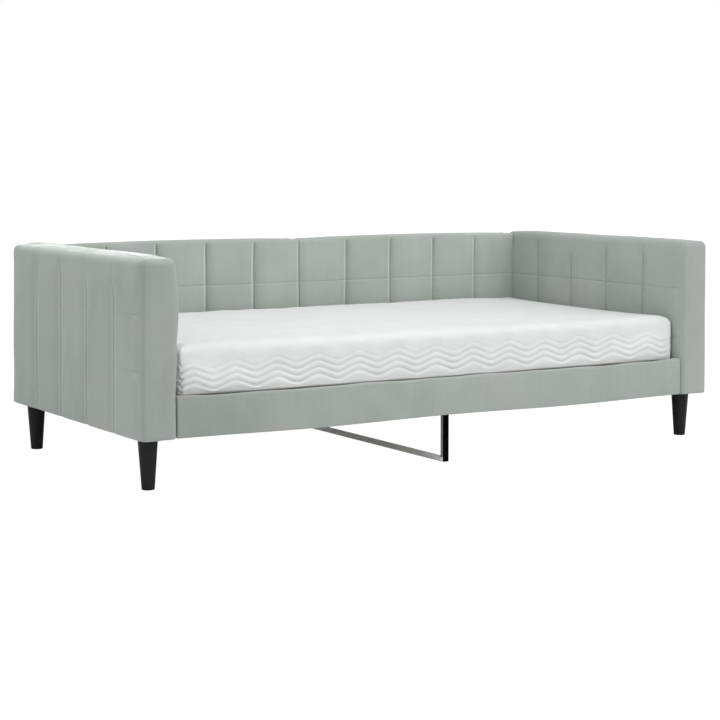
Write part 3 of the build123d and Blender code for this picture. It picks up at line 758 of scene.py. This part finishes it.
def plan_mattress():
    """The coarse shape of the mattress, its foot tucked in under a soft hem."""
    low, high = (np.array(v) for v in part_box("mattress_cover"))
    low += LOW_INSET
    high -= HIGH_INSET
    xs = crowded(low[0], high[0], (), MATTRESS_END_STEPS, (), MATTRESS_STEP)
    ys = crowded(low[1], high[1], (), MATTRESS_SIDE_STEPS, (), TOP_RIDGE / 2)
    rows = np.arange(FIRST_GROOVE, high[2] - 0.008, RIDGE / 2)
    zs = np.array([low[2], TUCK_LINE, HEM - 0.006, HEM, HEM + 0.005, *rows, high[2]])
    piece = block("mattress_quilting", xs, ys, zs, MATTRESS_CORNER, MATTRESS_TOP_ROUND,
                  MATTRESS_FOOT_ROUND, floor=False)
    place, points = read(piece, "place"), read(piece)
    level = place[:, 2]
    tuck = TUCK * ramp(-level, -HEM - 0.006, -HEM + 0.004)
    middle = (low + high) / 2
    for axis in (0, 1):
        room = (high[axis] - low[axis]) / 2
        points[:, axis] -= (points[:, axis] - middle[axis]) * tuck / room
    drop = sum(hill(place[:, 0] - spot, DROP_WIDTH) for spot in HEM_DROPS)
    hang = HEM_UNEVENNESS * ripple(lengthways(place), size=0.2, seed=45)
    hang += HEM_HANG * (1 - (place[:, 0] / high[0]) ** 2)
    front = place[:, 1] < low[1] + ON_FACE
    fall = np.where(front, DROP_DEPTH * np.minimum(drop, 1) + hang, hang)
    points[:, 2] -= hill(level - HEM, HEM_WIDTH) * fall
    deep = (points[:, 1] - low[1]) / (high[1] - low[1])
    at_right = ramp(points[:, 0], 0.75, 1.0)
    lift = TOP_LIFT * ramp(deep, 0.1, 1.0) * (1 - 0.75 * at_right) - 0.001
    points[:, 2] += lift * ramp(level, 0.33, high[2])
    write(piece, points)
    ends, sides = from_end(place, low, high, 0), from_end(place, low, high, 1)
    corners = (ends < 0.004) & (sides < 0.004)
    return {"piece": piece, "pinned": (level < HEM + 0.006) | corners, "low": low, "high": high,
            "cap": MATTRESS_CAP, "freedom": np.ones(len(place))}


def quilting_strength(place, ends, sides, top, on_side, on_end):
    """How deep the mattress's quilting is, and how strong its upright seam by the right corner is."""
    x, z = place[:, 0], place[:, 2]
    band = 0.3 * ramp(z, 0.290, 0.300) + 0.7 * ramp(z, 0.304, 0.322)
    inside = ramp(np.minimum(ends, sides), 0.0, 0.05)
    strength = np.where(top, TOP_QUILTING * inside, band * (1 - ramp(z, *QUILTING_OUT)))
    strength *= 1 + 0.22 * ripple(place, size=0.3, seed=43)
    gathered = 1 + CORNER_GATHER * np.exp(-np.where(on_end, sides, ends) / CORNER_REACH)
    strength = np.where((x < 0) & ~top, strength * gathered, strength)
    beyond_seam = ramp(abs(x), BORDER_SEAM, BORDER_SEAM + BORDER_WIDTH)
    right_side = on_side & (x > 0)
    strength = np.where(right_side, strength * (1 - 0.8 * beyond_seam), strength)
    return strength, np.where(right_side, hill(x - BORDER_SEAM, 0.004), 0) * band


def finish_mattress(plan):
    """Quilt the simulated mattress with wave-stitched ridges and close it underneath."""
    piece, low, high = plan["piece"], plan["low"], plan["high"]
    subdivided(piece)
    subdivided(piece)
    place, points = read(piece, "place"), read(piece)
    x, y, z = place.T
    ends, sides = from_end(place, low, high, 0), from_end(place, low, high, 1)
    on_end = ends < ON_FACE
    on_side = (sides < ON_FACE) & ~on_end
    top = ~(on_end | on_side)
    level = np.where(top, (y - low[1]) * RIDGE / TOP_RIDGE, z - FIRST_GROOVE)
    phase = level / RIDGE + 0.06 * ripple(place, size=0.25, seed=42)
    pads = abs(np.sin(math.pi * phase)) ** PAD_FLATNESS
    strength, seam = quilting_strength(place, ends, sides, top, on_side, on_end)
    fine = 0.00035 * ripple(place, size=0.013, seed=44) * strength
    move = -QUILT_DEPTH * strength * (1 - pads) - BORDER_DEPTH * seam + fine
    rear_edge = ramp(y, high[1] - 0.06, high[1]) * ramp(z, 0.40, high[2])
    points[:, 2] += REAR_WRINKLE * ripple(lengthways(place), size=0.045, seed=46) * rear_edge
    points += normals(piece) * move[:, None]
    shift = WAVE_HEIGHT * wave(np.where(on_end, y, x)) * np.where(top, 0.8, 1)
    shift -= WAVE_TILT * (1 - ramp(x, low[0], 0.1))
    points[:, 2] += np.where(top, 0, shift * ramp(z, *WAVES_IN) * (1 - ramp(z, *WAVES_OUT)))
    points[:, 1] += np.where(top, shift * ramp(sides, 0.010, 0.050) * ramp(ends, 0, 0.05), 0)
    write(piece, points)
    close_bottom(piece)
    smooth(piece)
    nodes = ("mattress_cover", "mattress_core")
    return stand_for(piece, "mattress", nodes)


def close_bottom(piece):
    """Fill a piece's open bottom with one face."""
    cloth = bmesh.new()
    cloth.from_mesh(piece.data)
    rim = [edge for edge in cloth.edges if edge.is_boundary]
    bmesh.ops.holes_fill(cloth, edges=rim)
    cloth.to_mesh(piece.data)
    cloth.free()


def make_underside():
    """The mattress's plain base cloth, slightly slack between its edges."""
    low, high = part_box("mattress_base")
    edge = TUCK - 0.002
    xs = np.linspace(low.x + edge, high.x - edge, 81)
    ys = np.linspace(low.y + edge, high.y - edge, 41)
    zs = np.array([low.z, low.z + 0.0012, low.z + 0.0024])
    piece = block("mattress_underside", xs, ys, zs, BASE_CORNER, BASE_ROUND, BASE_ROUND)
    place, points = read(piece, "place"), read(piece)
    from_edge = np.minimum(from_end(place, low, high, 0), from_end(place, low, high, 1))
    slack = 1 + ripple(place, size=0.15, seed=51)
    points[:, 2] += BASE_SLACK * ramp(from_edge, 0, 0.1) * slack
    write(piece, points)
    smooth(piece)
    return stand_for(piece, "mattress", ("mattress_base",))


# Materials
def material(name, **constants):
    """A new node material, with constants set on its shader's own sockets."""
    made = bpy.data.materials.new(name)
    made.use_nodes = True
    shader = made.node_tree.nodes["Principled BSDF"]
    for socket, value in constants.items():
        shader.inputs[socket.replace("_", " ")].default_value = value
    return made, made.node_tree, shader


def add_node(tree, kind, inputs=None, **settings):
    """One shader node, its inputs set to values or linked to other nodes' sockets."""
    made = tree.nodes.new(kind)
    for key, value in settings.items():
        setattr(made, key, value)
    for key, value in (inputs or {}).items():
        if isinstance(value, bpy.types.NodeSocket):
            tree.links.new(value, made.inputs[key])
        else:
            made.inputs[key].default_value = value
    return made


def object_place(tree, scale=(1, 1, 1)):
    """Object coordinates, stretched along each axis."""
    coordinates = add_node(tree, "ShaderNodeTexCoord").outputs["Object"]
    inputs = {"Vector": coordinates, "Scale": scale}
    return add_node(tree, "ShaderNodeMapping", inputs).outputs["Vector"]


def noise(tree, place, scale, detail=2.0, roughness=0.5, distortion=0.0):
    """A noise texture's value."""
    inputs = {"Vector": place, "Scale": scale, "Detail": detail, "Roughness": roughness,
              "Distortion": distortion}
    return add_node(tree, "ShaderNodeTexNoise", inputs).outputs["Fac"]


def grey(value):
    """A neutral colour."""
    return (value, value, value)


def colour_ramp(tree, value, *stops):
    """Colours along a value, from (position, colour) stops."""
    made = add_node(tree, "ShaderNodeValToRGB", {"Fac": value})
    elements = made.color_ramp.elements
    while len(elements) < len(stops):
        elements.new(0.5)
    for element, (position, colour) in zip(elements, stops):
        element.position = position
        element.color = (*colour, 1)
    return made.outputs["Color"]


def spread_value(tree, value, low, high):
    """A value from 0 to 1 stretched to run from low to high."""
    inputs = {"Value": value, "To Min": low, "To Max": high}
    return add_node(tree, "ShaderNodeMapRange", inputs).outputs["Result"]


def mixed(tree, share, first, second):
    """Two colours mixed by a share; a Mix node's colour sockets are 6, 7 and, going out, 2."""
    inputs = {0: share, 6: first, 7: second}
    return add_node(tree, "ShaderNodeMix", inputs, data_type="RGBA").outputs[2]


def below(tree, value, limit):
    """1 where a value is under a limit, 0 elsewhere."""
    return add_node(
        tree, "ShaderNodeMath", {0: value, 1: limit}, operation="LESS_THAN"
    ).outputs[0]


def coat(tree, shader, colour, roughness):
    """Feed a colour and a roughness into the shader."""
    tree.links.new(colour, shader.inputs["Base Color"])
    tree.links.new(roughness, shader.inputs["Roughness"])


def bumped(tree, shader, height, distance, strength, under=None):
    """Feed a height into the shader's normal, over another bump if there is one."""
    inputs = {"Height": height, "Distance": distance, "Strength": strength}
    if under is not None:
        inputs["Normal"] = under
    made = add_node(tree, "ShaderNodeBump", inputs).outputs["Normal"]
    tree.links.new(made, shader.inputs["Normal"])
    return made


def velvet():
    """Short-piled velvet: brushed patches, faint upright streaks, fine nap, a soft sheen, and painted light
    and shade stored at each vertex.
    """
    made, tree, shader = material(
        "velvet", Sheen_Weight=0.35, Sheen_Roughness=0.45, Sheen_Tint=(0.95, 1.0, 0.97, 1),
        Specular_IOR_Level=0.15,
    )
    patches = noise(tree, object_place(tree, (1, 1, 0.6)), 4.5, 4, 0.55, distortion=0.8)
    streaks = noise(tree, object_place(tree, (1, 1, 0.06)), 55)
    nap = noise(tree, object_place(tree), 950, 3, 0.6)
    base = colour_ramp(
        tree, patches,
        (0.30, (0.325, 0.365, 0.330)), (0.52, (0.365, 0.395, 0.365)), (0.74, (0.405, 0.420, 0.400)),
    )
    streaked = mixed(tree, 0.05, base, colour_ramp(
        tree, streaks, (0.35, (0.26, 0.29, 0.26)), (0.65, (0.47, 0.49, 0.47))))
    fine = mixed(tree, 0.12, streaked, colour_ramp(
        tree, nap, (0.3, (0.24, 0.26, 0.24)), (0.7, (0.52, 0.54, 0.52))))
    # painted light and shade at each vertex scale the colour up and down
    painted_light = add_node(tree, "ShaderNodeAttribute", attribute_name="painted_light").outputs["Fac"]
    gain = add_node(tree, "ShaderNodeMath", {0: painted_light, 1: PAINTED_LIGHT_CONTRAST, 2: 1.0},
                    operation="MULTIPLY_ADD").outputs[0]
    lit = add_node(tree, "ShaderNodeVectorMath", {0: fine, "Scale": gain}, operation="SCALE")
    coat(tree, shader, lit.outputs[0], spread_value(tree, patches, 0.70, 0.92))
    soft = bumped(tree, shader, patches, 0.0012, 0.25)
    bumped(tree, shader, nap, 0.00025, 0.5, under=soft)
    return made


def ticking():
    """White knitted mattress cloth: a fine rib both ways and a faint mottle."""
    made, tree, shader = material(
        "mattress_ticking", Sheen_Weight=0.15, Sheen_Roughness=0.5, Specular_IOR_Level=0.2,
    )
    mottle = noise(tree, object_place(tree), 14, 3)
    ribs = add_node(
        tree, "ShaderNodeTexWave",
        {"Vector": object_place(tree), "Scale": 90, "Distortion": 1.2, "Detail": 1.5,
         "Detail Scale": 3}, wave_type="BANDS", bands_direction="DIAGONAL",
    ).outputs["Fac"]
    knit = noise(tree, object_place(tree), 700, 2, 0.6)
    base = colour_ramp(
        tree, mottle, (0.3, (0.72, 0.725, 0.72)), (0.7, (0.765, 0.77, 0.765)))
    tinted = mixed(tree, 0.06, base, colour_ramp(
        tree, knit, (0.35, (0.57, 0.58, 0.58)), (0.65, (0.87, 0.87, 0.87))))
    coat(tree, shader, tinted, spread_value(tree, mottle, 0.75, 0.9))
    under = bumped(tree, shader, ribs, 0.00012, 0.5)
    bumped(tree, shader, knit, 0.0002, 0.5, under)
    return made


def wood(name, grain, dark, light, roughness):
    """Sawn or peeled wood with its grain along one axis (0, 1 or 2)."""
    made, tree, shader = material(name, Specular_IOR_Level=0.35)
    stretch = [1.0, 1.0, 1.0]
    stretch[grain] = 0.07
    rings = noise(tree, object_place(tree, stretch), 42, 4, 0.6, distortion=1.4)
    pores = noise(tree, object_place(tree, stretch), 420, 3, 0.65)
    base = colour_ramp(tree, rings, (0.32, dark), (0.55, light), (0.78, dark))
    deepest = tuple(0.6 * c for c in dark)
    fine = mixed(tree, 0.25, base, colour_ramp(tree, pores, (0.35, deepest), (0.65, light)))
    coat(tree, shader, fine, spread_value(tree, pores, roughness - 0.1, roughness + 0.1))
    bumped(tree, shader, pores, 0.0003, 0.5)
    return made


def speckled(name, first, second, scale, roughness, depth, **constants):
    """A fine-grained surface of two close colours: board, foam, felt or plastic."""
    made, tree, shader = material(name, **constants)
    grain = noise(tree, object_place(tree), scale, 3, 0.65)
    colours = colour_ramp(tree, grain, (0.35, first), (0.65, second))
    coat(tree, shader, colours, spread_value(tree, grain, roughness - 0.08, roughness + 0.08))
    bumped(tree, shader, grain, depth, 0.6)
    return made


def painted_wood():
    """Black lacquer over turned wood: faint upright grain under a satin film."""
    made, tree, shader = material("black_wood", Specular_IOR_Level=0.2)
    grain = noise(tree, object_place(tree, (1, 1, 0.05)), 160, 3, 0.6)
    wear = noise(tree, object_place(tree), 30, 4, 0.6)
    colours = colour_ramp(tree, wear, (0.35, grey(0.007)), (0.7, grey(0.012)))
    coat(tree, shader, colours, spread_value(tree, wear, 0.38, 0.56))
    bumped(tree, shader, grain, 0.0003, 0.35)
    return made


def painted_steel():
    """Coated steel with a fine orange peel and grey sides, with painted shade that turns the front post's
    front face very dark and painted light that makes the foot bar and all below its top pale.
    """
    made, tree, shader = material("black_steel", Specular_IOR_Level=0.01)
    peel = noise(tree, object_place(tree), 900)
    cloud = noise(tree, object_place(tree), 20, 3)
    sides = colour_ramp(tree, cloud, (0.3, (0.225, 0.230, 0.230)), (0.7, (0.265, 0.270, 0.270)))
    # painted light: the foot bar and all below its top made pale
    pale = colour_ramp(tree, cloud, (0.3, (0.84, 0.88, 0.89)), (0.7, (0.90, 0.94, 0.95)))
    front_painted_shade = colour_ramp(
        tree, cloud, (0.3, (0.0012, 0.0015, 0.0015)), (0.7, (0.0022, 0.0026, 0.0025)))
    place = add_node(tree, "ShaderNodeTexCoord").outputs["Object"]
    split = add_node(tree, "ShaderNodeSeparateXYZ", {"Vector": place}).outputs
    # painted shade on the front post's front face, painted light below the foot bar's top
    front = below(tree, split["Y"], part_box("support_front_post")[0].y + FRONT_SKIN)
    foot = below(tree, split["Z"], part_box("support_foot_bar")[1].z + FOOT_SKIN)
    colours = mixed(tree, front, mixed(tree, foot, sides, pale), front_painted_shade)
    coat(tree, shader, colours, spread_value(tree, cloud, 0.32, 0.46))
    bumped(tree, shader, peel, 0.0001, 0.5)
    return made


def zinc():
    """Zinc-plated steel: dull, faintly clouded metal."""
    made, tree, shader = material("zinc_steel", Metallic=1.0)
    cloud = noise(tree, object_place(tree), 180, 3, 0.6)
    colours = colour_ramp(tree, cloud, (0.3, (0.50, 0.50, 0.52)), (0.7, (0.66, 0.66, 0.68)))
    coat(tree, shader, colours, spread_value(tree, cloud, 0.28, 0.46))
    bumped(tree, shader, cloud, 0.00005, 0.4)
    return made


def make_materials():
    """One material for each of the record's slots."""
    return {
        "velvet": velvet(),
        "mattress_ticking": ticking(),
        "black_wood": painted_wood(),
        "black_steel": painted_steel(),
        "zinc_steel": zinc(),
        "timber": wood("timber", 0, (0.52, 0.34, 0.17), (0.72, 0.53, 0.31), 0.65),
        "plywood": wood("plywood", 1, (0.60, 0.43, 0.25), (0.76, 0.60, 0.40), 0.5),
        "fibreboard": speckled(
            "fibreboard", (0.30, 0.19, 0.11), (0.42, 0.29, 0.18), 420, 0.8, 0.0002),
        "foam": speckled("foam", (0.80, 0.74, 0.56), (0.90, 0.86, 0.70), 500, 0.9, 0.0006),
        "dust_cloth": speckled(
            "dust_cloth", (0.012, 0.012, 0.013), (0.035, 0.035, 0.037), 800, 0.85, 0.0003,
            Sheen_Weight=0.1),
        "black_plastic": speckled(
            "black_plastic", (0.018, 0.018, 0.019), (0.028, 0.028, 0.029), 600, 0.5, 0.0001),
    }


def dress(pieces, materials):
    """Give the new pieces and every CAD node the material of its slot."""
    for piece, name in pieces:
        piece.data.materials.clear()
        piece.data.materials.append(materials[name])
    for row in frame["record"]["subparts"]:
        node = frame["nodes"][row["node"]]
        node.data.materials.clear()
        node.data.materials.append(materials[row["material_slot"]])


# Studio
def add_stand(name, data):
    """Put a light or the camera in the scene."""
    stand = bpy.data.objects.new(name, data)
    bpy.context.scene.collection.objects.link(stand)
    return stand


def add_lamp(name, place, aim, size, watts):
    """A soft rectangular light aimed at a point."""
    lamp = bpy.data.lights.new(name, "AREA")
    lamp.shape = "RECTANGLE"
    lamp.size, lamp.size_y = size
    lamp.energy = watts
    stand = add_stand(name, lamp)
    stand.location = place
    stand.rotation_euler = (Vector(aim) - Vector(place)).to_track_quat("-Z", "Y").to_euler()
    return lamp


def add_sun(name, towards, strength, spread):
    """An even light from one direction, with very soft shadows."""
    lamp = bpy.data.lights.new(name, "SUN")
    lamp.energy = strength
    lamp.angle = math.radians(spread)
    add_stand(name, lamp).rotation_euler = Vector(towards).to_track_quat("Z", "Y").to_euler()


def rays_from_camera(tree):
    """1 for what the camera sees directly, 0 for light bouncing about."""
    return add_node(tree, "ShaderNodeLightPath").outputs["Is Camera Ray"]


def make_backdrop():
    """A faint even sky to light by, pure white where the camera sees it."""
    world = bpy.data.worlds.new("studio")
    bpy.context.scene.world = world
    world.use_nodes = True
    tree = world.node_tree
    sky = tree.nodes["Background"]
    sky.inputs["Color"].default_value = SKY
    sky.inputs["Strength"].default_value = SKY_STRENGTH
    seen = add_node(tree, "ShaderNodeBackground", {"Color": (1, 1, 1, 1), "Strength": 1.0})
    both = add_node(tree, "ShaderNodeMixShader",
                    {0: rays_from_camera(tree), 1: sky.outputs[0], 2: seen.outputs[0]})
    tree.links.new(both.outputs[0], tree.nodes["World Output"].inputs["Surface"])


def make_floor():
    """A wide pale floor that glows a little towards the camera, so that it meets the backdrop."""
    bpy.ops.mesh.primitive_plane_add(size=FLOOR_SIZE, location=(0, 0, 0))
    floor = bpy.context.object
    floor.name = "studio_floor"
    made, tree, shader = material("studio_floor", Specular_IOR_Level=0.0, Roughness=1.0)
    paint = noise(tree, object_place(tree), 2)
    tree.links.new(colour_ramp(tree, paint, (0.3, grey(0.93)), (0.7, grey(0.95))),
                   shader.inputs["Base Color"])
    glow = add_node(tree, "ShaderNodeEmission", {"Strength": FLOOR_GLOW})
    share = add_node(tree, "ShaderNodeMath", {0: rays_from_camera(tree), 1: GLOW_SHARE},
                     operation="MULTIPLY").outputs[0]
    both = add_node(tree, "ShaderNodeMixShader",
                    {0: share, 1: shader.outputs[0], 2: glow.outputs[0]})
    tree.links.new(both.outputs[0], tree.nodes["Material Output"].inputs["Surface"])
    floor.data.materials.append(made)


def make_camera():
    """The camera, in front of the daybed's left end."""
    camera = bpy.data.cameras.new("camera")
    camera.lens = LENS
    camera.sensor_width = SENSOR_WIDTH
    camera.shift_y = -SHIFT_DOWN
    stand = add_stand("camera", camera)
    stand.location = EYE
    stand.rotation_euler = (math.pi / 2 - TILT, 0, -TURN)
    bpy.context.scene.camera = stand


def make_studio():
    """A pale floor, soft lights and the camera."""
    bpy.context.scene.view_settings.view_transform = "Standard"
    make_backdrop()
    make_floor()
    for sun in SUNS:
        add_sun(*sun)
    lamps = {row[0]: add_lamp(*row) for row in LAMPS}
    lamps["arm_top"].spread = ARM_TOP_SPREAD
    make_camera()


cover_plans = plan_upholstery()
mattress_plan = plan_mattress()
inflate([*cover_plans, mattress_plan])
soft = [*finish_upholstery(cover_plans), make_rail()]
white = [finish_mattress(mattress_plan), make_underside()]
pieces = [(piece, "velvet") for piece in soft] + [(piece, "mattress_ticking") for piece in white]
dress(pieces, make_materials())
make_studio()
